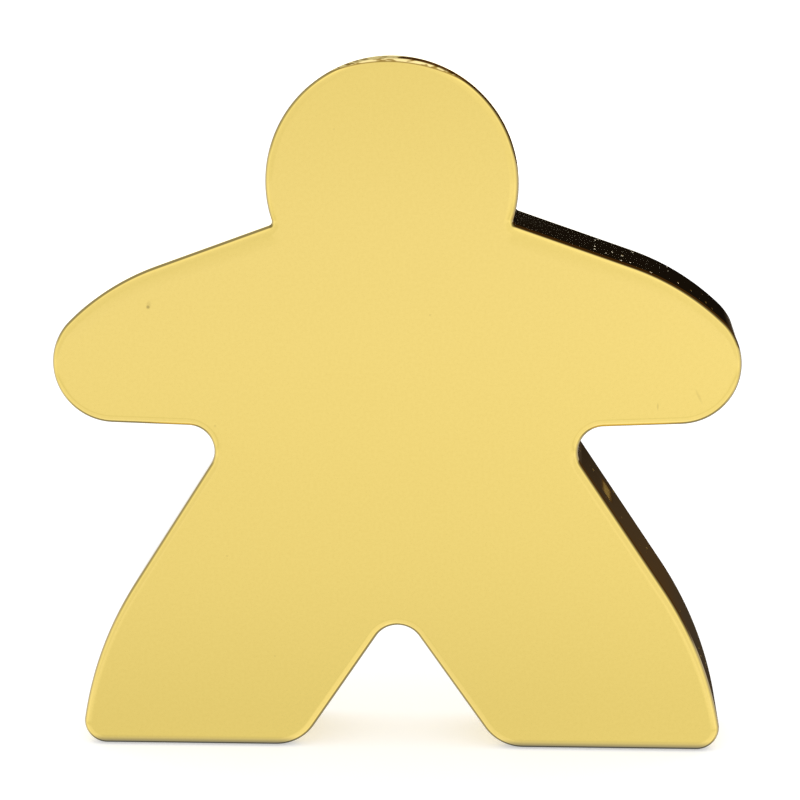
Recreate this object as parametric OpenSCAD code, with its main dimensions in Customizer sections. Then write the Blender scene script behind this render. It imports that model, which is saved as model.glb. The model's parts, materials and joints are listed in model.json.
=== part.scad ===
// Person-shaped pawn token of gold-plated zinc alloy, standing on its soles.
// X runs across the figure, its face looks to -Y, Z is up, and the origin is
// at the middle of the footprint, at the height of the soles.
// The casting is one flat body with a softly rounded rim, front and back. Each
// plated layer wraps the one below it all round, so every surface here is the
// same figure, taken a little deeper.

/* [Figure] */
// Arm span, from hand to hand
arm_span = 25; // [23:0.5:28]
// Height, from the soles to the top of the head
figure_h = 25.75; // [24.5:0.05:28]
// Thickness, from the face to the back
figure_t = 4; // [3:0.25:6]
// Radius of the rounding along the rim, front and back
rim_r = 0.3; // [0.25:0.05:0.45]

/* [Head and neck] */
// Diameter of the round head
head_d = 9.05; // [8:0.05:9.8]
// Angle below the middle of the head at which the shoulders start
neck_angle = 16.7; // [10:0.1:25]
// Radius in the corner between head and shoulder
neck_corner_r = 0.17; // [0.12:0.01:0.3]

/* [Arms] */
// Height of the middle of the hands
hand_z = 14.65; // [14:0.05:15.4]
// Radius of the rounded hands
hand_r = 2.2; // [1.8:0.05:2.4]
// Radius of the curve along the top of the arms
upper_arm_r = 9; // [7:0.1:11]
// Angle above level at which that curve runs into the hand
upper_arm_angle = 46; // [38:1:55]
// Height of the underside of the arms, at the armpits
underarm_z = 12.35; // [11.9:0.05:12.6]
// Radius of the armpits
armpit_r = 0.95; // [0.7:0.05:1.3]
// Width of the waist, between the armpits
waist_w = 13.3; // [12:0.1:14]

/* [Legs] */
// Width over both feet
stance_w = 23.8; // [22:0.2:26]
// Radius of the outward curve of the lower legs
outer_leg_r = 14.2; // [11:0.2:17]
// Angle above level at which that curve runs into the foot
outer_leg_angle = 10; // [6:1:14]
// Radius of the outer corners of the feet
foot_corner_r = 0.84; // [0.7:0.01:1]
// Width between the flat soles
sole_gap = 9.3; // [8:0.1:10]
// Radius of the inner ends of the feet
instep_r = 1.75; // [1.3:0.05:2]
// Height of the arch between the legs
arch_h = 4.75; // [4:0.05:5.4]
// Radius at the top of the arch
arch_r = 0.95; // [0.8:0.05:1.3]

/* [Plating] */
// Thickness of the gold layer, drawn thicker than the real one
gold_t = 0.05; // [0.04:0.01:0.08]
// Thickness of the nickel layer under it, drawn thicker too
nickel_t = 0.05; // [0.04:0.01:0.08]
// Thickness of the copper strike on the casting, drawn thicker too
copper_t = 0.05; // [0.04:0.01:0.08]

/* [Hidden] */

// Depth of each layer's outer surface below the finished surface
nickel_depth = gold_t;
copper_depth = nickel_depth + nickel_t;
casting_depth = copper_depth + copper_t;

// Smoothness of a surface: [furthest that a facet strays from its curve,
// steps that round the rim]
finished = [0.01, 4];
buried = [0.02, 2];
// Share of their distance under which two curves of the outline simply meet
meeting_share = 0.001;

// The right half of the outline is a belt laid round these circles, from the
// top of the head down to the arch between the legs
head_r = head_d / 2;
head_at = [0, figure_h - head_r];
neck_at = head_at + (head_r + neck_corner_r) * toward(-neck_angle);
hand_at = [arm_span / 2 - hand_r, hand_z];
upper_arm_at = hand_at - (upper_arm_r - hand_r) * toward(upper_arm_angle);
armpit_at = [waist_w / 2 + armpit_r, underarm_z - armpit_r];
foot_at = [stance_w / 2 - foot_corner_r, foot_corner_r];
outer_leg_at = foot_at - (outer_leg_r - foot_corner_r) * toward(outer_leg_angle);
instep_at = [sole_gap / 2, instep_r];
arch_at = [0, arch_h - arch_r];

// Each circle is [centre, radius], and the radius is negative where the belt
// passes with the metal on the circle's outside
BELT = [
    [head_at, head_r],
    [neck_at, -neck_corner_r],
    [upper_arm_at, upper_arm_r],
    [hand_at, hand_r],
    [armpit_at, -armpit_r],
    [outer_leg_at, outer_leg_r],
    [foot_at, foot_corner_r],
    [instep_at, instep_r],
    [arch_at, -arch_r],
];
LAST = len(BELT) - 1;

// Point of the chest, level with the hands, from which the whole outline is in sight
chest_z = hand_z;
// Place of the face, with the back as far behind the origin
face_y = -figure_t / 2;

// Unit vector at an angle above level
function toward(angle) = [cos(angle), sin(angle)];

// Vector from the centre of circle i to the next one
function leap(i) = BELT[i + 1][0] - BELT[i][0];

// Cosine of the angle between that vector and the outward side of the belt
function lean(i) = min(1, (BELT[i][1] - BELT[i + 1][1]) / norm(leap(i)));

// Angle within half a turn either way
function within_half_turn(angle) = angle > 180 ? angle - 360 : angle;

// Direction that the belt faces after circle i
function facing(i) =
    i < 0 ? 90 :
    i == LAST ? -90 :
    within_half_turn(atan2(leap(i)[1], leap(i)[0]) + acos(lean(i)));

// Whether circle i takes over from the one before it without a straight run
function meets(i) = i > 0 && sqrt(1 - pow(lean(i - 1), 2)) < meeting_share;

// Number of edges that follow circle i
function edges(i, error) =
    ceil(abs(facing(i) - facing(i - 1)) / (2 * acos(1 - error / abs(BELT[i][1]))));

// Points of the belt round circle i, a depth inside the outline
function bend(i, depth, error) =
    let (n = edges(i, error), from = facing(i - 1), turn = facing(i) - from)
    [for (k = [meets(i) ? 1 : 0 : n])
        BELT[i][0] + (BELT[i][1] - depth) * toward(from + turn * k / n)];

// Whole outline, clockwise from the top of the head, a depth inside
function outline(depth, error) =
    let (right = [for (i = [0 : LAST]) each bend(i, depth, error)])
    concat(right, [for (k = [len(right) - 2 : -1 : 1]) [-right[k][0], right[k][1]]]);

// Rounding of the front rim, as [depth inside the outline, place along Y]
function rim(depth, steps) =
    [for (k = [0 : steps])
        [rim_r, face_y + rim_r] - (rim_r - depth) * toward(90 - 90 * k / steps)];

// Figure whose whole surface lies a depth inside the finished one
module figure(depth, smoothness) {
    front = rim(depth, smoothness[1]);
    back = [for (k = [len(front) - 1 : -1 : 0]) [front[k][0], -front[k][1]]];
    levels = concat(front, back);
    count = len(outline(depth, smoothness[0]));
    top = len(levels) - 1;
    hub = count * len(levels);
    points = [
        for (level = levels, p = outline(level[0], smoothness[0])) [p[0], level[1], p[1]],
        [0, face_y + depth, chest_z],
        [0, -face_y - depth, chest_z],
    ];
    faces = [
        for (level = [0 : top - 1], i = [0 : count - 1])
            let (a = level * count + i, b = level * count + (i + 1) % count)
            [a, a + count, b + count, b],
        for (i = [0 : count - 1]) [hub, i, (i + 1) % count],
        for (i = [0 : count - 1]) [hub + 1, top * count + (i + 1) % count, top * count + i],
    ];
    polyhedron(points, faces);
}

// Layer that wraps the figure all round, between two depths
module layer(outer, outer_smoothness, inner) {
    difference() {
        figure(outer, outer_smoothness);
        figure(inner, buried);
    }
}

// Bright gold finish
module gold_layer() {
    color("gold") layer(0, finished, nickel_depth);
}

// Nickel that keeps the gold from sinking into the copper
module nickel_layer() {
    color("silver") layer(nickel_depth, buried, copper_depth);
}

// Copper that makes the plating take on zinc
module copper_strike() {
    color("peru") layer(copper_depth, buried, casting_depth);
}

// Die-cast body
module zinc_casting() {
    color("slategray") figure(casting_depth, buried);
}

gold_layer();
nickel_layer();
copper_strike();
zinc_casting();
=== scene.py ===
"""Gold-plated, person-shaped pawn token that stands on its soles on a pale floor.

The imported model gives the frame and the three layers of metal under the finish. This script turns
out the gold layer as a polished skin, dresses all four layers, and sets up the floor, the studio
and the camera. Lengths are metres, written in millimetres times MM, and angles are degrees.
"""

import json
import logging
import math
from collections.abc import Callable, Iterator
from contextlib import contextmanager
from dataclasses import dataclass, field
from enum import Enum

import bmesh
import bpy
from mathutils import Matrix, Vector

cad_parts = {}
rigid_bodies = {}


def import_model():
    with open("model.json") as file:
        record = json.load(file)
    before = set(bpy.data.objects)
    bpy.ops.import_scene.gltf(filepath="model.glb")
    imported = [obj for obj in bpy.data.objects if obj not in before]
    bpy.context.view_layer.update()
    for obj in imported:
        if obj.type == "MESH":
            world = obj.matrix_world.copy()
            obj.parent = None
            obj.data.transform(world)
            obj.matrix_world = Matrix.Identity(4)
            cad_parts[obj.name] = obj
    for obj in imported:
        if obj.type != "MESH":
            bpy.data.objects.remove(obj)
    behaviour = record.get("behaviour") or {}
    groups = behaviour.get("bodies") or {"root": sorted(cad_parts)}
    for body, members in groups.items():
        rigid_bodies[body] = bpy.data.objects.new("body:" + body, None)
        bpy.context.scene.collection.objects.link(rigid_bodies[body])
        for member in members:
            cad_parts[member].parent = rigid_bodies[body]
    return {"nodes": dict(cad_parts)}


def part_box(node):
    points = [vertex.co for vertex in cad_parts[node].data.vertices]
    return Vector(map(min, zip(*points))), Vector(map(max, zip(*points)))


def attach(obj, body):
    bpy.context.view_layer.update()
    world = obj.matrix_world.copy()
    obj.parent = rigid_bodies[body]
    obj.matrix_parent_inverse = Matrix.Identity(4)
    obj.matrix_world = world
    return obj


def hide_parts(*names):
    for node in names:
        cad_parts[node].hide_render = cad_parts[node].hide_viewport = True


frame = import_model()

LOG = logging.getLogger("token")
MM = 0.001
TOUCH = 0.001 * MM
RIM_R = 0.3 * MM
QUARTER_TURN = 90.0
HALF_TURN = 180.0

Socket = bpy.types.NodeSocket
Value = float | Socket
Colour = tuple[float, float, float]


class Side(Enum):
    """The two flat sides of the figure, by the way that each looks along Y."""

    FACE = -1
    BACK = 1


@dataclass(frozen=True)
class Bend:
    """One circle that the outline runs round, with a negative radius where the metal is outside it."""

    x: float
    z: float
    radius: float

    def point(self, facing: float) -> Vector:
        """Place on the outline where it faces an angle above level.

        Args:
            facing: Direction that the outline faces there, in degrees.

        Returns:
            The point, as X and Z.
        """
        angle = math.radians(facing)
        return Vector((self.x + self.radius * math.cos(angle), self.z + self.radius * math.sin(angle)))


@dataclass(frozen=True)
class Outline:
    """Right half of the figure's outline, from the top of the head to the arch between the legs.

    Attributes:
        arm_span: Width from hand to hand.
        height: Height from the soles to the top of the head.
        head_d: Diameter of the head.
        neck_angle: Angle below the middle of the head at which the shoulders start, in degrees.
        neck_corner_r: Radius in the corner between head and shoulder.
        hand_z: Height of the middle of the hands.
        hand_r: Radius of the hands.
        upper_arm_r: Radius of the curve along the top of the arms.
        upper_arm_angle: Angle above level at which that curve runs into the hand, in degrees.
        underarm_z: Height of the underside of the arms, at the armpits.
        armpit_r: Radius of the armpits.
        waist_w: Width of the waist.
        stance_w: Width over both feet.
        outer_leg_r: Radius of the outward curve of the lower legs.
        outer_leg_angle: Angle above level at which that curve runs into the foot, in degrees.
        foot_corner_r: Radius of the outer corners of the feet.
        sole_gap: Width between the soles.
        instep_r: Radius of the inner ends of the feet.
        arch_h: Height of the arch between the legs.
        arch_r: Radius at the top of the arch.
    """

    arm_span: float
    height: float
    head_d: float = 9.05 * MM
    neck_angle: float = 16.7
    neck_corner_r: float = 0.17 * MM
    hand_z: float = 14.65 * MM
    hand_r: float = 2.2 * MM
    upper_arm_r: float = 9.0 * MM
    upper_arm_angle: float = 46.0
    underarm_z: float = 12.35 * MM
    armpit_r: float = 0.95 * MM
    waist_w: float = 13.3 * MM
    stance_w: float = 23.8 * MM
    outer_leg_r: float = 14.2 * MM
    outer_leg_angle: float = 10.0
    foot_corner_r: float = 0.84 * MM
    sole_gap: float = 9.3 * MM
    instep_r: float = 1.75 * MM
    arch_h: float = 4.75 * MM
    arch_r: float = 0.95 * MM

    def bends(self) -> list[Bend]:
        """Works out the circles that the outline runs round.

        Returns:
            The circles, in their order along the outline.
        """
        head = Bend(0.0, self.height - self.head_d / 2, self.head_d / 2)
        neck = self._beside(head, -self.neck_angle, head.radius + self.neck_corner_r)
        hand = Bend(self.arm_span / 2 - self.hand_r, self.hand_z, self.hand_r)
        upper_arm = self._beside(hand, self.upper_arm_angle, self.hand_r - self.upper_arm_r)
        foot = Bend(self.stance_w / 2 - self.foot_corner_r, self.foot_corner_r, self.foot_corner_r)
        outer_leg = self._beside(foot, self.outer_leg_angle, self.foot_corner_r - self.outer_leg_r)
        return [
            head,
            Bend(neck.x, neck.z, -self.neck_corner_r),
            Bend(upper_arm.x, upper_arm.z, self.upper_arm_r),
            hand,
            Bend(self.waist_w / 2 + self.armpit_r, self.underarm_z - self.armpit_r, -self.armpit_r),
            Bend(outer_leg.x, outer_leg.z, self.outer_leg_r),
            foot,
            Bend(self.sole_gap / 2, self.instep_r, self.instep_r),
            Bend(0.0, self.arch_h - self.arch_r, -self.arch_r),
        ]

    def facings(self) -> list[float]:
        """Works out which way the outline faces between its bends.

        Returns:
            Angles above level: before the first bend, between the bends, and after the last.
        """
        bends = self.bends()
        angles = [QUARTER_TURN]
        for one, other in zip(bends, bends[1:]):
            leap = Vector((other.x - one.x, other.z - one.z))
            lean = min(1.0, (one.radius - other.radius) / leap.length)
            angle = math.degrees(math.atan2(leap.y, leap.x) + math.acos(lean))
            angles.append(angle - 2 * HALF_TURN if angle > HALF_TURN else angle)
        return angles + [-QUARTER_TURN]

    @staticmethod
    def _beside(bend: Bend, angle: float, distance: float) -> Bend:
        """Gives a bend's double, moved by a distance at an angle above level."""
        turn = math.radians(angle)
        return Bend(bend.x + distance * math.cos(turn), bend.z + distance * math.sin(turn), bend.radius)


@contextmanager
def edit_mode(piece: bpy.types.Object) -> Iterator[None]:
    """Holds one piece, and nothing else, in edit mode.

    Args:
        piece: The mesh object to edit.

    Yields:
        Nothing, once the piece is in edit mode.
    """
    bpy.ops.object.select_all(action="DESELECT")
    bpy.context.view_layer.objects.active = piece
    piece.select_set(True)
    bpy.ops.object.mode_set(mode="EDIT")
    yield
    bpy.ops.object.mode_set(mode="OBJECT")


def pick_faces(piece: bpy.types.Object, wanted: Callable[[bmesh.types.BMFace], bool]) -> None:
    """Selects the faces that pass a test, in edit mode, and nothing else.

    Args:
        piece: The mesh object in edit mode.
        wanted: Test of a face.
    """
    bpy.ops.mesh.select_mode(type="FACE")
    bpy.ops.mesh.select_all(action="DESELECT")
    mesh = bmesh.from_edit_mesh(piece.data)
    for face in mesh.faces:
        if not face.hide and wanted(face):
            face.select_set(True)
    bmesh.update_edit_mesh(piece.data)


def pick_edges(piece: bpy.types.Object, wanted: Callable[[bmesh.types.BMEdge], bool]) -> None:
    """Selects the edges that pass a test, in edit mode, and nothing else.

    Args:
        piece: The mesh object in edit mode.
        wanted: Test of an edge.
    """
    bpy.ops.mesh.select_mode(type="EDGE")
    bpy.ops.mesh.select_all(action="DESELECT")
    mesh = bmesh.from_edit_mesh(piece.data)
    for edge in mesh.edges:
        if wanted(edge):
            edge.select_set(True)
    bmesh.update_edit_mesh(piece.data)


def apply_modifier(piece: bpy.types.Object, kind: str, **settings: object) -> None:
    """Adds a modifier to a piece and applies it.

    Args:
        piece: The mesh object.
        kind: The modifier's type.
        settings: Values of the modifier's properties.
    """
    bpy.ops.object.select_all(action="DESELECT")
    bpy.context.view_layer.objects.active = piece
    piece.select_set(True)
    modifier = piece.modifiers.new(kind.lower(), kind)
    for name, value in settings.items():
        setattr(modifier, name, value)
    bpy.ops.object.modifier_apply(modifier=modifier.name)


@dataclass(frozen=True)
class Tone:
    """How bright the room is at one angle, in degrees, with its shares of green and blue."""

    angle: float
    level: float
    green: float = 1.0
    blue: float = 1.0

    def colour(self) -> Colour:
        """Gives the tone as a linear colour."""
        return (self.level, self.level * self.green, self.level * self.blue)


class Graph:
    """Node tree of one material or of the world, with short ways to add and join nodes."""

    # Numbers of a colour Mix node's sockets, which share their names with others
    MIX_SHARE = 0
    MIX_COLOURS = (6, 7)
    MIX_RESULT = 2

    def __init__(self, owner: bpy.types.Material | bpy.types.World) -> None:
        """Empties the owner's node tree.

        Args:
            owner: The material or world.
        """
        owner.use_nodes = True
        self.tree = owner.node_tree
        self.tree.nodes.clear()

    def add(
            self, kind: str, inputs: dict[str | int, object] | None = None,
            **settings: object) -> bpy.types.Node:
        """Adds a node.

        Args:
            kind: Type of the node, without its ShaderNode prefix.
            inputs: Value, or socket to join, for each input by its name or number.
            settings: Values of the node's own properties.

        Returns:
            The new node.
        """
        node = self.tree.nodes.new("ShaderNode" + kind)
        for name, value in settings.items():
            setattr(node, name, value)
        for name, value in (inputs or {}).items():
            if isinstance(value, Socket):
                self.join(value, node.inputs[name])
            else:
                node.inputs[name].default_value = value
        return node

    def join(self, output: Socket, target: Socket) -> None:
        """Joins an output to an input."""
        self.tree.links.new(output, target)

    def compute(self, operation: str, *values: Value) -> Socket:
        """Works out one sum of numbers or sockets, by the name of the Math node's operation."""
        return self.add("Math", dict(enumerate(values)), operation=operation).outputs[0]

    def angle(self, operation: str, *values: Value) -> Socket:
        """Works out an angle in degrees, by the name of the Math node's operation."""
        return self.compute("MULTIPLY", self.compute(operation, *values), math.degrees(1.0))

    def beyond(self, value: Value, start: Value) -> Socket:
        """Gives how far a value is past a start, and 0 short of it."""
        return self.compute("MAXIMUM", self.compute("SUBTRACT", value, start), 0.0)

    def total(self, *parts: tuple[Socket, float]) -> Value:
        """Adds up sockets, each times its own share.

        Args:
            parts: Each socket with its share.

        Returns:
            The socket that holds the sum.
        """
        result = 0.0
        for value, share in parts:
            result = self.compute("MULTIPLY_ADD", value, share, result)
        return result

    def ease(
            self, value: Value, start: float, end: float,
            low: float = 0.0, high: float = 1.0) -> Socket:
        """Eases from one number to another while a value runs over a range.

        Args:
            value: The number or socket that runs.
            start: Where the change starts.
            end: Where it ends.
            low: The result up to the start.
            high: The result from the end.

        Returns:
            The socket that holds the result.
        """
        inputs = {"Value": value, "From Min": start, "From Max": end, "To Min": low, "To Max": high}
        return self.add("MapRange", inputs, interpolation_type="SMOOTHSTEP").outputs["Result"]

    def window(self, value: Value, edges: tuple[float, ...]) -> Socket:
        """Eases from 0 to 1 and back to 0 while a value runs over a range.

        Args:
            value: The number or socket that runs.
            edges: Where the rise starts and ends, and where the fall starts and ends.

        Returns:
            The socket that holds the result.
        """
        rise_start, rise_end, fall_start, fall_end = edges
        rise = self.ease(value, rise_start, rise_end)
        return self.compute("MULTIPLY", rise, self.ease(value, fall_start, fall_end, 1.0, 0.0))

    def blend(
            self, share: Value, one: Socket | Colour, other: Socket | Colour,
            mode: str = "MIX") -> Socket:
        """Mixes two colours.

        Args:
            share: Share of the second colour.
            one: First colour or socket.
            other: Second colour or socket.
            mode: How the colours mix.

        Returns:
            The socket that holds the mixed colour.
        """
        colours = [hue if isinstance(hue, Socket) else (*hue, 1.0) for hue in (one, other)]
        inputs = {self.MIX_SHARE: share, **dict(zip(self.MIX_COLOURS, colours))}
        node = self.add("Mix", inputs, data_type="RGBA", blend_type=mode)
        return node.outputs[self.MIX_RESULT]

    def ramp(self, angle: Socket, reach: float, tones: tuple[Tone, ...]) -> Socket:
        """Colours an angle by tones.

        Args:
            angle: The angle, in degrees, which runs from -reach to reach.
            reach: The furthest that it runs either way.
            tones: The tones, in rising order of their angles.

        Returns:
            The socket that holds the colour.
        """
        share = self.compute("DIVIDE", self.compute("ADD", angle, reach), 2 * reach)
        node = self.add("ValToRGB", {"Fac": share})
        elements = node.color_ramp.elements
        while len(elements) < len(tones):
            elements.new(position=0.5)
        for element, tone in zip(elements, tones):
            element.position = (tone.angle + reach) / (2 * reach)
            element.color = (*tone.colour(), 1.0)
        return node.outputs["Color"]

    def place(self) -> Socket:
        """Gives the place on the piece, in metres."""
        return self.add("TexCoord").outputs["Object"]

    def noise(self, place: Socket, scale: float, detail: float) -> Socket:
        """Gives noise, from 0 to 1."""
        return self.add("TexNoise", {"Vector": place, "Scale": scale, "Detail": detail}).outputs["Fac"]


@dataclass(frozen=True)
class MetalFinish:
    """What every metal finish of the token shares: a colour, a grain and a gloss.

    Attributes:
        name: Name of the material.
        slot: Slot for the material; not used.
        colour: Linear colour of the metal where its grain is high.
        shade: Linear colour where its grain is low.
        grain_per_mm: Lumps of the grain to a millimetre.
        gloss: Roughness where the grain is low and where it is high.
        relief: Height of the grain.
        grain_detail: Detail of the grain.
        shade_grain: Grain between which the shade gives way to the colour.
        gloss_grain: Grain between which the roughness changes.
    """

    name: str
    slot: str
    colour: Colour
    shade: Colour
    grain_per_mm: float
    gloss: tuple[float, float]
    relief: float
    grain_detail: float = 4.0
    shade_grain: tuple[float, float] = (0.35, 0.65)
    gloss_grain: tuple[float, float] = (0.3, 0.7)

    def material(self) -> bpy.types.Material:
        """Makes the material.

        Returns:
            A metal whose colour, gloss and relief follow a fine grain.
        """
        material = bpy.data.materials.new(self.name)
        graph = Graph(material)
        grain = self._grain(graph)
        roughness = graph.ease(grain, *self.gloss_grain, *self.gloss)
        self._join_shader(graph, self._tint(graph, grain), roughness, grain)
        return material

    def _grain(self, graph: Graph) -> Socket:
        """Makes the metal's fine grain."""
        return graph.noise(graph.place(), self.grain_per_mm / MM, self.grain_detail)

    def _tint(self, graph: Graph, grain: Socket) -> Socket:
        """Colours the metal by its grain."""
        return graph.blend(graph.ease(grain, *self.shade_grain), self.shade, self.colour)

    def _join_shader(self, graph: Graph, colour: Socket, roughness: Socket, height: Socket) -> None:
        """Makes the metal's shader and joins it to the material's output.

        Args:
            graph: The material's node tree.
            colour: Colour of the metal.
            roughness: Roughness of the metal.
            height: Height of the surface, as a share of the relief.
        """
        bump = graph.add("Bump", {"Height": height, "Distance": self.relief, "Strength": 1.0})
        shader = graph.add("BsdfPrincipled", {
            "Metallic": 1.0,
            "Base Color": colour,
            "Roughness": roughness,
            "Normal": bump.outputs[0],
        })
        graph.join(shader.outputs[0], graph.add("OutputMaterial").inputs["Surface"])


@dataclass(frozen=True)
class Mark:
    """A small oval flaw in the polish.

    Attributes:
        x: Place of its middle across the figure.
        z: Height of its middle.
        half_w: Half its width.
        half_l: Half its length.
        lean: Angle by which its length leans from upright, in degrees.
        loss: Share of the light that it takes at its middle.
        core_share: Share of its reach over which it takes all of that.
    """

    x: float
    z: float
    half_w: float
    half_l: float
    lean: float = 0.0
    loss: float = 0.1
    core_share: float = 0.2

    def mask(self, graph: Graph) -> Socket:
        """Finds the mark on the piece.

        Args:
            graph: The material's node tree.

        Returns:
            The socket that rises to the mark's loss of light at its middle.
        """
        here = graph.add("Mapping", {
            "Vector": graph.place(),
            "Location": (self.x, 0.0, self.z),
            "Rotation": (0.0, math.radians(self.lean), 0.0),
            "Scale": (self.half_w, 1.0, self.half_l),
        }, vector_type="TEXTURE").outputs[0]
        away = graph.add("VectorMath", {0: here}, operation="LENGTH").outputs["Value"]
        return graph.ease(away, self.core_share, 1.0, self.loss, 0.0)


# Flaws on the face, dented and darkened with painted shade; the pair at x = ±4.34 mm is painted shade in
# the neck corners
FACE_MARKS = (
    Mark(-8.86 * MM, 16.80 * MM, 0.10 * MM, 0.10 * MM, loss=0.6),
    Mark(-8.84 * MM, 16.87 * MM, 0.12 * MM, 0.22 * MM, lean=12.0, loss=0.18),
    Mark(9.50 * MM, 13.16 * MM, 0.05 * MM, 0.20 * MM, loss=0.2),
    Mark(10.96 * MM, 13.54 * MM, 0.07 * MM, 0.40 * MM, lean=-25.0, loss=0.13),
    Mark(-4.34 * MM, 19.72 * MM, 0.12 * MM, 0.09 * MM, lean=-20.0, loss=0.8),
    Mark(4.34 * MM, 19.72 * MM, 0.12 * MM, 0.09 * MM, lean=20.0, loss=0.8),
    Mark(1.34 * MM, 16.51 * MM, 0.06 * MM, 0.06 * MM, loss=0.15),
    Mark(-6.26 * MM, 7.44 * MM, 0.07 * MM, 0.06 * MM, loss=0.12),
    Mark(-4.58 * MM, 3.57 * MM, 0.06 * MM, 0.07 * MM, loss=0.12),
    Mark(-6.56 * MM, 12.38 * MM, 0.07 * MM, 0.07 * MM, loss=0.15),
    Mark(-1.99 * MM, 23.20 * MM, 0.06 * MM, 0.06 * MM, loss=0.12),
)


@dataclass(frozen=True)
class GoldFinish(MetalFinish):
    """Polished gold, with a fine mottle on its two faces and ripples and pits on the walls between.

    Its gloss is the roughness of the faces and of the walls. Heights and depths of flaws are shares
    of the relief. A rim starts where the wall ends.

    Attributes:
        half_thickness: Half the figure's thickness.
        rim_r: Radius of its rims.
        mottle_share: Height of the mottle.
        ripple_share: Height of the ripples.
        ripple_per_mm: Ripples to a millimetre.
        ripple_detail: Detail of the ripples.
        wall_share: Share of the rim over which the walls' finish gives way to the faces'.
        marks: Flaws on the face, dented and darkened with painted shade.
        mark_share: Depth of a flaw.
        fleck: The one large fleck on a wall.
        fleck_y: Distances from the middle plane between which the fleck fades.
        pits_per_metre: Places for a pit to a metre, along each axis.
        pit_reach: Distances from a pit's middle between which it fades, as shares of that spacing.
        pit_share: Depth of a pit.
        pit_roughness: Roughness that a pit adds.
        pitted_x: Places across the figure between which the pits start.
        pitted_z: Heights between which they end, below the head.
        highlight_at: Middle of the circle that bounds the crescent of painted highlight on top of the
            head.
        highlight_r: Radius of that circle.
        highlight_fade: Distance over which the crescent starts.
        highlight_z: Heights between which it starts.
        highlight_depths: How far past the start of the rim it is whole, and how far past it starts.
        highlight_shade_w: Width of the line of painted shade on its inner side.
        streaks_per_metre: Streaks of painted shade in the crescent to a metre, along each axis.
        streak_detail: Detail of the streaks.
        streak_grain: Their noise between which the shade's colour gives way to the highlight's.
        rim_shade_shares: Shares of the rim at which its line of painted shade starts, is whole, fades and
            ends.
        sole_shade_z: Heights between which the painted shade along the edges of the soles fades.
        sole_shade_shares: Shares of the half thickness at which that painted shade starts and is whole.
    """

    grain_detail: float = 3.0
    shade_grain: tuple[float, float] = (0.3, 0.7)
    half_thickness: float = 2.0 * MM
    rim_r: float = RIM_R
    mottle_share: float = 0.02
    ripple_share: float = 0.8
    ripple_per_mm: float = 1.6
    ripple_detail: float = 2.0
    wall_share: float = 0.5
    marks: tuple[Mark, ...] = FACE_MARKS
    mark_share: float = 0.5
    fleck: Mark = Mark(7.66 * MM, 9.45 * MM, 0.6 * MM, 0.45 * MM, loss=0.8)
    fleck_y: tuple[float, float] = (0.5 * MM, 1.1 * MM)
    pits_per_metre: tuple[float, float, float] = (4.0 / MM, 1.5 / MM, 4.0 / MM)
    pit_reach: tuple[float, float] = (0.1, 0.22)
    pit_share: float = 2.5
    pit_roughness: float = 0.5
    pitted_x: tuple[float, float] = (3.0 * MM, 4.0 * MM)
    pitted_z: tuple[float, float] = (18.6 * MM, 19.0 * MM)
    highlight_at: tuple[float, float, float] = (-0.109 * MM, 0.0, 19.98 * MM)
    highlight_r: float = 5.585 * MM
    highlight_fade: float = 0.03 * MM
    highlight_z: tuple[float, float] = (23.5 * MM, 24.0 * MM)
    highlight_depths: tuple[float, float] = (0.08 * MM, 0.02 * MM)
    highlight_shade_w: float = 0.04 * MM
    streaks_per_metre: tuple[float, float, float] = (2.2 / MM, 1.0 / MM, 9.0 / MM)
    streak_detail: float = 2.0
    streak_grain: tuple[float, float] = (0.4, 0.52)
    rim_shade_shares: tuple[float, ...] = (0.05, 0.2, 0.5, 0.75)
    sole_shade_z: tuple[float, float] = (0.05 * MM, 0.43 * MM)
    sole_shade_shares: tuple[float, float] = (0.6, 0.8)
    # Painted highlight on top of the head, and the painted shade along its inner side and in its streaks
    highlight_colour: Colour = (0.98, 0.80, 0.36)
    highlight_shade_colour: Colour = (0.36, 0.23, 0.05)
    # Painted shade in the face's marks
    mark_shade_colour: Colour = (0.25, 0.19, 0.06)
    # Painted shade along the rims, standing in for a dark reflection
    rim_shade_colour: Colour = (0.44, 0.335, 0.13)
    # Painted shade along the edges of the soles
    sole_shade_colour: Colour = (0.16, 0.15, 0.10)

    def material(self) -> bpy.types.Material:
        """Makes the material.

        Returns:
            Gold with a fine mottle and a few marks with painted shade, painted shade along its rims and
            soles, a painted highlight on top of the head, and pitted walls.
        """
        material = bpy.data.materials.new(self.name)
        graph = Graph(material)
        parts = graph.add("SeparateXYZ", {0: graph.place()}).outputs
        depth = graph.compute("ABSOLUTE", parts["Y"])
        wall = self._wall(graph, depth)
        marks = self._marks(graph, parts["Y"])
        pits = graph.compute("MULTIPLY", self._pits(graph, parts, depth), wall)
        mottle = self._grain(graph)
        colour = self._tint(graph, mottle)
        # Painted shade: a thin dark line along each rim
        colour = graph.blend(self._rim_shade_line(graph, depth), colour, self.rim_shade_colour)
        # Painted shade along the edges of the soles
        colour = graph.blend(self._sole_shade(graph, depth, parts["Z"]), colour, self.sole_shade_colour)
        # Painted highlight on top of the head, and painted shade in the face's marks
        colour = graph.blend(marks, self._head_highlight(graph, parts, colour), self.mark_shade_colour)
        gloss = graph.ease(wall, 0.0, 1.0, *self.gloss)
        roughness = graph.compute("MULTIPLY_ADD", pits, self.pit_roughness, gloss)
        ripple = graph.noise(graph.place(), self.ripple_per_mm / MM, self.ripple_detail)
        height = graph.total(
            (mottle, self.mottle_share), (graph.compute("MULTIPLY", ripple, wall), self.ripple_share),
            (marks, -self.mark_share), (pits, -self.pit_share))
        self._join_shader(graph, colour, roughness, height)
        return material

    @property
    def _rim_start(self) -> float:
        """Distance from the middle plane at which the walls end and the rims start."""
        return self.half_thickness - self.rim_r

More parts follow.
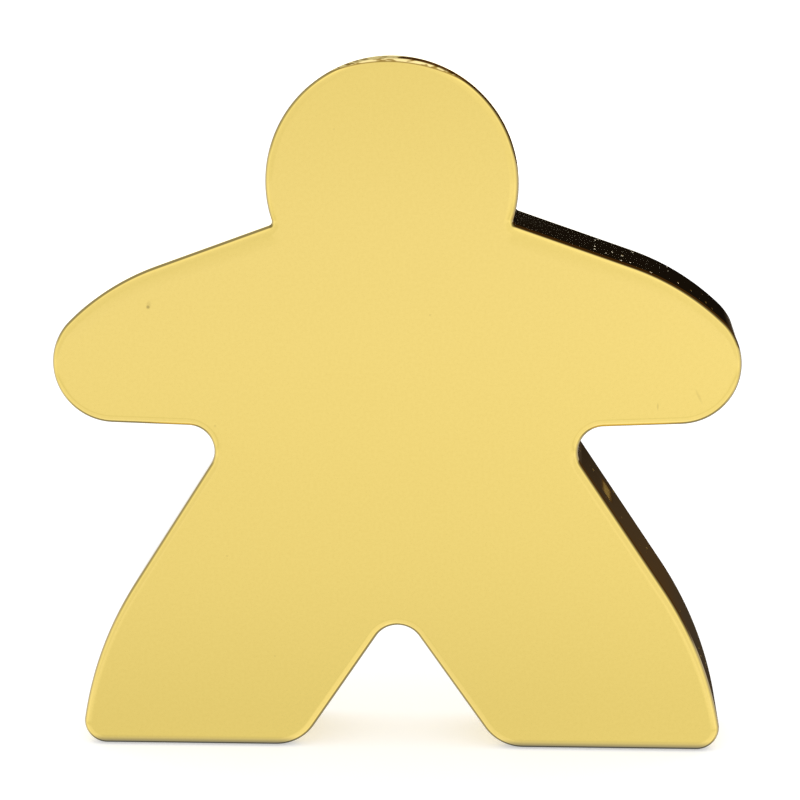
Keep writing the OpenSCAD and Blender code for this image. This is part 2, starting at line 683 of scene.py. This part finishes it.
    def _wall(self, graph: Graph, depth: Socket) -> Socket:
        """Tells the walls, at 1, from the rims and faces, at 0."""
        end = self._rim_start + self.wall_share * self.rim_r
        return graph.ease(depth, self._rim_start, end, 1.0, 0.0)

    def _rim_shade_line(self, graph: Graph, depth: Socket) -> Socket:
        """Finds the thin line of painted shade along each rim, which stands in for a dark reflection."""
        edges = tuple(self._rim_start + share * self.rim_r for share in self.rim_shade_shares)
        return graph.window(depth, edges)

    def _sole_shade(self, graph: Graph, depth: Socket, z: Socket) -> Socket:
        """Finds the edges of the soles, which get painted shade in place of the floor's contact shadow
        mirrored in the gold.
        """
        start, end = (share * self.half_thickness for share in self.sole_shade_shares)
        low = graph.ease(z, *self.sole_shade_z, 1.0, 0.0)
        return graph.compute("MULTIPLY", low, graph.ease(depth, start, end))

    def _head_highlight(self, graph: Graph, parts: bpy.types.NodeOutputs, gold: Socket) -> Socket:
        """Paints a crescent of highlight on top of the head, paler gold streaked with painted shade, with
        a line of painted shade on its inner side.

        Args:
            graph: The material's node tree.
            parts: Coordinates on the piece.
            gold: Colour of the gold around it.

        Returns:
            The socket that holds the colour with the painted highlight and its line of painted shade in
            it.
        """
        place = graph.place()
        here = graph.add("VectorMath", {0: place, 1: self.highlight_at}, operation="SUBTRACT").outputs[0]
        flat = graph.add("VectorMath", {0: here, 1: (1.0, 0.0, 1.0)}, operation="MULTIPLY").outputs[0]
        away = graph.add("VectorMath", {0: flat}, operation="LENGTH").outputs["Value"]
        whole, start = (-self._rim_start - depth for depth in self.highlight_depths)
        top = graph.compute("MULTIPLY", graph.ease(parts["Y"], whole, start, 1.0, 0.0),
                         graph.ease(parts["Z"], *self.highlight_z))
        crescent = graph.ease(away, self.highlight_r, self.highlight_r + self.highlight_fade)
        edge_shade = graph.ease(away, self.highlight_r - self.highlight_shade_w, self.highlight_r)
        streaks = graph.add("Mapping", {"Vector": place, "Scale": self.streaks_per_metre}).outputs[0]
        grain = graph.noise(streaks, 1.0, self.streak_detail)
        # Painted highlight, streaked with painted shade
        highlight = graph.blend(graph.ease(grain, *self.streak_grain), self.highlight_shade_colour, self.highlight_colour)
        # Painted shade along the highlight's inner side
        edge_shaded = graph.blend(graph.compute("MULTIPLY", edge_shade, top), gold, self.highlight_shade_colour)
        return graph.blend(graph.compute("MULTIPLY", crescent, top), edge_shaded, highlight)

    def _marks(self, graph: Graph, y: Socket) -> Socket:
        """Gathers the marks on the face.

        Args:
            graph: The material's node tree.
            y: Place along Y on the piece.

        Returns:
            The socket that holds the share of light that the marks take.
        """
        marks = 0.0
        for mark in self.marks:
            marks = graph.compute("MAXIMUM", marks, mark.mask(graph))
        return graph.compute("MULTIPLY", marks, graph.compute("LESS_THAN", y, 0.0))

    def _pits(self, graph: Graph, parts: bpy.types.NodeOutputs, depth: Socket) -> Socket:
        """Scatters small pits over the walls of the right arm and leg, and adds the one large fleck.

        Args:
            graph: The material's node tree.
            parts: Coordinates on the piece.
            depth: Distance from the middle plane.

        Returns:
            The socket that nears 1 in the deepest pits and is 0 outside them.
        """
        spread = graph.add("Mapping", {"Vector": graph.place(), "Scale": self.pits_per_metre}).outputs[0]
        cells = graph.add("TexVoronoi", {"Vector": spread, "Scale": 1.0}).outputs
        chance = graph.add("SeparateXYZ", {0: cells["Color"]}).outputs["X"]
        pits = graph.compute("MULTIPLY", graph.ease(cells["Distance"], *self.pit_reach, 1.0, 0.0),
                          graph.compute("MULTIPLY", chance, chance))
        right = graph.compute("MULTIPLY", graph.ease(parts["X"], *self.pitted_x),
                           graph.ease(parts["Z"], *self.pitted_z, 1.0, 0.0))
        middle = graph.ease(depth, *self.fleck_y, 1.0, 0.0)
        fleck = graph.compute("MULTIPLY", self.fleck.mask(graph), middle)
        return graph.compute("MAXIMUM", graph.compute("MULTIPLY", pits, right), fleck)


GOLD = GoldFinish(
    "polished_gold", "gold", colour=(0.93, 0.72, 0.213), shade=(0.91, 0.70, 0.203),
    grain_per_mm=8.0, gloss=(0.06, 0.05), relief=0.004 * MM)
NICKEL = MetalFinish(
    "bright_nickel", "nickel", colour=(0.78, 0.76, 0.71), shade=(0.70, 0.68, 0.63),
    grain_per_mm=3.0, gloss=(0.12, 0.22), relief=0.002 * MM)
COPPER = MetalFinish(
    "copper_strike", "copper", colour=(0.82, 0.48, 0.34), shade=(0.70, 0.38, 0.26),
    grain_per_mm=6.0, gloss=(0.25, 0.38), relief=0.004 * MM)
ZINC = MetalFinish(
    "cast_zinc", "zinc_alloy", colour=(0.55, 0.57, 0.58), shade=(0.42, 0.44, 0.45),
    grain_per_mm=4.0, gloss=(0.42, 0.6), relief=0.012 * MM)


@dataclass
class GoldSkin:
    """The gold layer: a polished skin all round the figure, with softly rounded rims.

    Attributes:
        finish: Its finish.
        replaced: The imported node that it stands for.
        plate: Thickness of the skin.
        rim_r: Radius of the rims.
        rim_steps: Steps that round a rim.
        longest_step: Longest edge along a round stretch of the outline.
        widest_turn: Widest turn from one such edge to the next, in degrees.
        cell: Width of the cells across the faces.
        rings: Widths of the rings of faces along a rim, of which the first is cut on the wall too.
        arm_fall: How far a face falls away along the tops of the arms.
        arm_fall_reach: Distance over which it does.
        smooth_angle: Sharpest edge that is shaded smooth, in degrees.
        outline: The figure's outline.
        half: Half the figure's thickness.
    """

    finish: GoldFinish
    replaced: str = "gold_layer"
    plate: float = 0.05 * MM
    rim_r: float = RIM_R
    rim_steps: int = 8
    longest_step: float = 0.16 * MM
    widest_turn: float = 4.0
    cell: float = 0.2 * MM
    rings: tuple[float, ...] = (0.04 * MM, 0.1 * MM, 0.12 * MM, 0.14 * MM)
    arm_fall: float = 0.012 * MM
    arm_fall_reach: float = 0.55 * MM
    smooth_angle: float = 40.0
    outline: Outline = field(init=False)
    half: float = field(init=False)

    def __post_init__(self) -> None:
        """Takes the figure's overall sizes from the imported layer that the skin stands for."""
        low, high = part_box(self.replaced)
        self.outline = Outline(arm_span=high[0] - low[0], height=high[2] - low[2])
        self.half = (high[1] - low[1]) / 2

    def build(self) -> bpy.types.Object:
        """Models the skin.

        Returns:
            The finished piece.
        """
        piece = self._trace_half()
        apply_modifier(piece, "MIRROR", merge_threshold=TOUCH)
        with edit_mode(piece):
            self._cut_out()
            self._round_rims(piece)
            self._grid_faces(piece)
        apply_modifier(piece, "SOLIDIFY", thickness=self.plate, offset=-1.0)
        with edit_mode(piece):
            self._hide_inside(piece)
            for side in Side:
                self._slope_arms(piece, side)
            bpy.ops.mesh.reveal(select=False)
        bpy.ops.object.shade_smooth_by_angle(angle=math.radians(self.smooth_angle))
        piece.data.materials.append(self.finish.material())
        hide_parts(self.replaced)
        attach(piece, "root")
        return piece

    def _trace_half(self) -> bpy.types.Object:
        """Draws the right half of the outline in the face's plane, turning a point round each bend.

        Returns:
            The piece, which is still a row of edges.
        """
        bends, facings = self.outline.bends(), self.outline.facings()
        bpy.ops.object.select_all(action="DESELECT")
        bpy.ops.mesh.primitive_plane_add(size=MM, location=(0.0, -self.half, self.outline.height))
        piece = bpy.context.object
        piece.name = piece.data.name = "gold_finish"
        bpy.ops.object.transform_apply(location=True, rotation=True, scale=True)
        with edit_mode(piece):
            bpy.ops.mesh.select_all(action="SELECT")
            bpy.ops.mesh.merge(type="CENTER")
            here = Vector((0.0, self.outline.height))
            for bend, before, after in zip(bends, facings, facings[1:]):
                run = bend.point(before) - here
                if run.length > TOUCH:
                    bpy.ops.mesh.extrude_region_move(TRANSFORM_OT_translate={"value": (run.x, 0.0, run.y)})
                turn = after - before
                arc = math.radians(abs(turn)) * abs(bend.radius)
                steps = math.ceil(max(abs(turn) / self.widest_turn, arc / self.longest_step))
                centre = (bend.x, -self.half, bend.z)
                bpy.ops.mesh.spin(
                    steps=steps, angle=math.radians(turn), center=centre, axis=(0.0, 1.0, 0.0))
                here = bend.point(after)
        return piece

    def _cut_out(self) -> None:
        """Fills the outline and draws the sheet out to the figure's thickness."""
        bpy.ops.mesh.select_all(action="SELECT")
        bpy.ops.mesh.edge_face_add()
        bpy.ops.mesh.extrude_region_move(TRANSFORM_OT_translate={"value": (0.0, 2 * self.half, 0.0)})
        bpy.ops.mesh.select_all(action="SELECT")
        bpy.ops.mesh.normals_make_consistent(inside=False)

    def _round_rims(self, piece: bpy.types.Object) -> None:
        """Rounds the edges round the face and the back."""
        pick_edges(piece, lambda edge: abs(edge.verts[0].co.y - edge.verts[1].co.y) < TOUCH)
        bpy.ops.mesh.bevel(offset=self.rim_r, segments=self.rim_steps, profile=0.5, clamp_overlap=False)

    def _hide_inside(self, piece: bpy.types.Object) -> None:
        """Hides the skin's inner surface, which lies against the nickel.

        Args:
            piece: The skin, in edit mode.
        """
        mesh = bmesh.from_edit_mesh(piece.data)
        mesh.verts.ensure_lookup_table()
        start = max(mesh.verts, key=lambda vert: vert.co.z)
        bpy.ops.mesh.select_mode(type="VERT")
        bpy.ops.mesh.select_all(action="DESELECT")
        start.select_set(True)
        bmesh.update_edit_mesh(piece.data)
        bpy.ops.mesh.select_linked()
        bpy.ops.mesh.hide(unselected=True)

    def _grid_faces(self, piece: bpy.types.Object) -> None:
        """Cuts rings along the rims and small cells between them, so that the faces can take a curve.

        Args:
            piece: The figure, in edit mode, with its rims rounded.
        """
        rim_end = self.half - self.rim_r
        pick_faces(piece, lambda face: abs(face.calc_center_median().y) < rim_end)
        for side in Side:
            loop_y = side.value * (rim_end - self.rings[0])
            bpy.ops.mesh.bisect(plane_co=(0.0, loop_y, 0.0), plane_no=(0.0, 1.0, 0.0), threshold=TOUCH)
            pick_faces(piece, lambda face: abs(face.calc_center_median().y) < rim_end)
        pick_faces(piece, lambda face: abs(face.calc_center_median().y) > self.half - TOUCH)
        for ring in self.rings:
            bpy.ops.mesh.inset(thickness=ring)
        bpy.ops.mesh.hide(unselected=True)
        spans = ((Vector((1.0, 0.0, 0.0)), -self.outline.arm_span / 2, self.outline.arm_span),
                 (Vector((0.0, 0.0, 1.0)), 0.0, self.outline.height))
        for across, start, span in spans:
            for number in range(1, math.floor(span / self.cell)):
                bpy.ops.mesh.select_all(action="SELECT")
                place = across * (start + number * self.cell)
                bpy.ops.mesh.bisect(plane_co=place, plane_no=across, threshold=TOUCH)
        bpy.ops.mesh.reveal(select=False)

    def _slope_arms(self, piece: bpy.types.Object, side: Side) -> None:
        """Lets a face fall away a little towards the tops of the arms, as polishing leaves it.

        Args:
            piece: The skin, in edit mode with its inside hidden.
            side: The face to treat.
        """
        rim_end = self.half - self.rim_r
        shoulder = self.outline.bends()[1]

        def on_arm_top(face: bmesh.types.BMFace) -> bool:
            """Tells whether a face is part of this side's rim along the top of an arm.

            Args:
                face: The face.

            Returns:
                Whether it is.
            """
            middle, normal = face.calc_center_median(), face.normal
            on_rim = rim_end < middle.y * side.value < self.half - TOUCH
            past_neck = middle.z < shoulder.z and abs(middle.x) > shoulder.x
            return on_rim and past_neck and normal.z > abs(normal.x)

        pick_faces(piece, on_arm_top)
        bpy.ops.transform.translate(
            value=(0.0, -side.value * self.arm_fall, 0.0), use_proportional_edit=True,
            proportional_edit_falloff="SHARP", proportional_size=self.arm_fall_reach)


@dataclass
class InnerLayer:
    """A packed layer of metal that the skin wraps, which keeps its shape and gets its finish."""

    node: str
    finish: MetalFinish

    def dress(self) -> bpy.types.Object:
        """Gives the layer its finish.

        Returns:
            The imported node.
        """
        piece = frame["nodes"][self.node]
        piece.data.materials.clear()
        piece.data.materials.append(self.finish.material())
        return piece


INNER_LAYERS = (
    InnerLayer("nickel_layer", NICKEL),
    InnerLayer("copper_strike", COPPER),
    InnerLayer("zinc_casting", ZINC),
)

# What the gold mirrors in front of the token, by height above the horizon
FRONT = (
    Tone(-90.0, 0.8), Tone(-82.0, 1.05, blue=1.08), Tone(-70.0, 1.05, blue=1.08),
    Tone(-60.0, 0.97, blue=1.03), Tone(-34.0, 0.955), Tone(-25.0, 0.94, blue=0.98),
    Tone(-22.5, 0.87, blue=0.93), Tone(-20.5, 0.845, blue=0.92), Tone(-18.5, 0.893, blue=0.955),
    Tone(-17.0, 0.928, blue=0.97), Tone(-14.0, 0.96, blue=0.99), Tone(-12.0, 0.974, blue=1.015),
    Tone(-9.0, 0.967, blue=1.04), Tone(-5.5, 0.912, blue=0.98), Tone(0.0, 0.905, blue=0.98),
    Tone(34.0, 0.93), Tone(50.0, 1.06), Tone(75.0, 1.1), Tone(90.0, 0.7),
)
# How much of that shows to either side, by the turn from straight in front
FRONT_SIDES = (
    Tone(-180.0, 1.0), Tone(-92.0, 0.9), Tone(-75.0, 1.13), Tone(-60.0, 1.0), Tone(-12.0, 0.98),
    Tone(-1.0, 1.005), Tone(4.0, 1.038), Tone(12.0, 1.05), Tone(55.0, 1.04), Tone(70.0, 1.15),
    Tone(82.0, 1.02), Tone(90.0, 0.6), Tone(180.0, 1.0),
)
# What it mirrors behind the token, by height above the horizon
BACK = (
    Tone(-90.0, 0.25), Tone(-50.0, 0.4), Tone(-34.0, 0.85), Tone(-8.0, 1.0), Tone(4.5, 0.95),
    Tone(8.5, 0.7, blue=0.9), Tone(60.0, 0.6, blue=0.9), Tone(90.0, 0.6),
)
# The dark screen there, by height above the horizon
SCREEN = (
    Tone(-24.0, 0.05, green=0.72, blue=0.48), Tone(-8.0, 0.05, green=0.72, blue=0.48),
    Tone(-5.0, 0.008, green=0.6875, blue=0.5), Tone(9.0, 0.008, green=0.6875, blue=0.5),
    Tone(13.0, 0.05, green=0.44, blue=0.16),
)


@dataclass(frozen=True)
class Studio:
    """Pale floor, soft light and the room that the gold mirrors.

    Directions in the room are in degrees: a height is above the horizon, and a bearing runs to the
    right from straight behind the token. Four edges are where something starts, is whole, fades and
    ends. Two are where it starts and is whole, or the other way round.

    Attributes:
        floor_size: Width of the floor.
        floor_colour: Brightness of the floor's paint.
        floor_lift: Light that the camera sees the floor give.
        gap: Distance by which the floor stays clear of the soles.
        front: Tones in front of the token, by height.
        front_sides: Their shares, by the turn from straight in front.
        front_end: Turns either way between which the front gives way to the back.
        back: Tones behind the token, by height.
        backdrop: Colour of the bright backdrop behind the token.
        backdrop_bearing: Its edges across.
        backdrop_height: Its edges upwards.
        screen: Tones of the dark screen that stands behind the token to its right, by height.
        screen_near: Its nearer edge.
        screen_upright: Heights between which that edge is upright. It leans out beyond them.
        screen_lean: The most that it leans out above them.
        screen_far: Its farther edge, up to the overhang.
        overhang_from: Height from which the screen spreads past that edge.
        overhang_slope: How far it spreads for each degree of height.
        screen_end: Bearings between which even the overhang fades.
        screen_low: Its lower edge.
        fringe: Colour of the screen along its farther part.
        fringe_bearing: Where that colour starts and is whole.
    """

    floor_size: float = 4.0
    floor_colour: float = 0.8
    floor_lift: float = 0.45
    gap: float = 0.01 * MM
    front: tuple[Tone, ...] = FRONT
    front_sides: tuple[Tone, ...] = FRONT_SIDES
    front_end: tuple[float, float] = (80.0, 92.0)
    back: tuple[Tone, ...] = BACK
    backdrop: Colour = (1.9, 1.9, 1.9)
    backdrop_bearing: tuple[float, ...] = (-24.0, -18.0, 9.0, 12.0)
    backdrop_height: tuple[float, ...] = (-10.0, -7.0, 7.5, 8.5)
    screen: tuple[Tone, ...] = SCREEN
    screen_near: tuple[float, float] = (6.6, 7.4)
    screen_upright: tuple[float, float] = (-15.0, 3.0)
    screen_lean: float = 5.0
    screen_far: tuple[float, float] = (26.0, 40.0)
    overhang_from: float = -5.0
    overhang_slope: float = 4.0
    screen_end: tuple[float, float] = (45.0, 95.0)
    screen_low: tuple[float, float] = (-27.0, -23.0)
    fringe: Colour = (0.09, 0.042, 0.01)
    fringe_bearing: tuple[float, float] = (12.0, 20.0)

    def build(self) -> None:
        """Lays the floor and sets up the world."""
        self._lay_floor()
        self._light_world()

    def _lay_floor(self) -> None:
        """Lays the floor, which the camera sees as white but for the token's shadow."""
        bpy.ops.object.select_all(action="DESELECT")
        bpy.ops.mesh.primitive_plane_add(size=self.floor_size, location=(0.0, 0.0, -self.gap))
        floor = bpy.context.object
        floor.name = "floor"
        material = bpy.data.materials.new("pale_floor")
        graph = Graph(material)
        diffuse = graph.add("BsdfDiffuse", {"Color": (self.floor_colour,) * 3 + (1.0,)})
        rays = graph.add("LightPath").outputs
        mirrored = graph.compute("MAXIMUM", rays["Is Glossy Ray"], rays["Is Transmission Ray"])
        seen = graph.compute("MAXIMUM", rays["Is Camera Ray"], mirrored)
        glow = graph.add("Emission", {"Strength": graph.compute("MULTIPLY", seen, self.floor_lift)})
        both = graph.add("AddShader", {0: diffuse.outputs[0], 1: glow.outputs[0]})
        graph.join(both.outputs[0], graph.add("OutputMaterial").inputs["Surface"])
        floor.data.materials.append(material)
        floor.visible_glossy = False

    def _light_world(self) -> None:
        """Makes the room: plain for the floor, white for the camera, and shaded for the gold to mirror."""
        world = bpy.data.worlds.new("studio")
        bpy.context.scene.world = world
        graph = Graph(world)
        rays = graph.add("LightPath").outputs
        plain = graph.compute("MAXIMUM", rays["Is Camera Ray"], rays["Is Diffuse Ray"])
        colour = graph.blend(plain, self._room(graph), (1.0, 1.0, 1.0))
        light = graph.add("Background", {"Color": colour, "Strength": 1.0})
        graph.join(light.outputs[0], graph.add("OutputWorld").inputs["Surface"])

    def _room(self, graph: Graph) -> Socket:
        """Shades the room that the gold mirrors.

        Args:
            graph: The world's node tree.

        Returns:
            The socket that holds the room's colour in every direction.
        """
        parts = graph.add("SeparateXYZ", {0: graph.add("TexCoord").outputs["Generated"]}).outputs
        forward = graph.compute("MULTIPLY", parts["Y"], -1.0)
        height = graph.angle("ARCSINE", parts["Z"])
        turn = graph.angle("ARCTAN2", parts["X"], forward)
        bearing = graph.angle("ARCTAN2", parts["X"], parts["Y"])
        front = graph.ramp(height, QUARTER_TURN, self.front)
        front = graph.blend(1.0, front, graph.ramp(turn, HALF_TURN, self.front_sides), "MULTIPLY")
        back = graph.ramp(height, QUARTER_TURN, self.back)
        back = graph.blend(self._on_backdrop(graph, bearing, height), back, self.backdrop)
        room = graph.blend(graph.ease(graph.compute("ABSOLUTE", turn), *self.front_end), front, back)
        screen = graph.ramp(height, QUARTER_TURN, self.screen)
        screen = graph.blend(graph.ease(bearing, *self.fringe_bearing), screen, self.fringe)
        return graph.blend(self._on_screen(graph, bearing, height), room, screen)

    def _on_backdrop(self, graph: Graph, bearing: Socket, height: Socket) -> Socket:
        """Tells the bright backdrop, at 1, from the rest of the room, at 0."""
        across = graph.window(bearing, self.backdrop_bearing)
        return graph.compute("MULTIPLY", across, graph.window(height, self.backdrop_height))

    def _on_screen(self, graph: Graph, bearing: Socket, height: Socket) -> Socket:
        """Tells the dark screen from the rest of the room.

        Args:
            graph: The world's node tree.
            bearing: Bearing of the direction.
            height: Height of the direction.

        Returns:
            The socket that is 1 on the screen and 0 off it.
        """
        low, high = self.screen_upright
        above = graph.compute("MINIMUM", graph.beyond(height, high), self.screen_lean)
        lean = graph.compute("ADD", above, graph.beyond(low, height))
        near = graph.ease(graph.compute("ADD", bearing, lean), *self.screen_near)
        overhang = graph.compute("MULTIPLY", graph.beyond(height, self.overhang_from), self.overhang_slope)
        far = graph.ease(graph.compute("SUBTRACT", bearing, overhang), *self.screen_far, 1.0, 0.0)
        end = graph.ease(bearing, *self.screen_end, 1.0, 0.0)
        sides = graph.compute("MULTIPLY", graph.compute("MULTIPLY", near, far), end)
        return graph.compute("MULTIPLY", sides, graph.ease(height, *self.screen_low))


@dataclass(frozen=True)
class Viewpoint:
    """Where the photograph was taken from, and how the camera was held.

    Attributes:
        aim: Point that the camera looks at.
        azimuth: Angle to the right of straight in front at which it stands, in degrees.
        elevation: Angle above level at which it stands, in degrees.
        roll: Angle by which it was turned clockwise, in degrees.
        distance: Distance from the point.
        lens: Focal length, in millimetres.
        clip_share: Share of the distance nearer than which nothing shows.
        clip_end: Distance past which nothing shows.
    """

    aim: tuple[float, float, float] = (0.218 * MM, -2.0 * MM, 13.375 * MM)
    azimuth: float = 4.095
    elevation: float = 13.137
    roll: float = 0.776
    distance: float = 88.765 * MM
    lens: float = 110.4
    clip_share: float = 0.01
    clip_end: float = 100.0

    def place_camera(self) -> None:
        """Makes the camera and gives it to the scene."""
        turn, rise = math.radians(self.azimuth), math.radians(self.elevation)
        back = Vector((math.sin(turn) * math.cos(rise), -math.cos(turn) * math.cos(rise), math.sin(rise)))
        data = bpy.data.cameras.new("camera")
        data.lens = self.lens
        data.clip_start = self.clip_share * self.distance
        data.clip_end = self.clip_end
        camera = bpy.data.objects.new("camera", data)
        bpy.context.collection.objects.link(camera)
        place = Matrix.Translation(Vector(self.aim) + back * self.distance)
        facing = (-back).to_track_quat("-Z", "Y").to_matrix().to_4x4()
        camera.matrix_world = place @ facing @ Matrix.Rotation(math.radians(-self.roll), 4, "Z")
        bpy.context.scene.camera = camera


def main() -> None:
    """Builds and dresses the token, then the studio round it."""
    logging.basicConfig(level=logging.INFO, format="%(name)s: %(message)s")
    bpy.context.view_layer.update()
    skin = GoldSkin(GOLD).build()
    LOG.info("%s: %d faces", skin.name, len(skin.data.polygons))
    for layer in INNER_LAYERS:
        LOG.info("%s dressed", layer.dress().name)
    Studio().build()
    Viewpoint().place_camera()
    bpy.context.scene.view_settings.view_transform = "Standard"


if __name__ == "__main__":
    main()
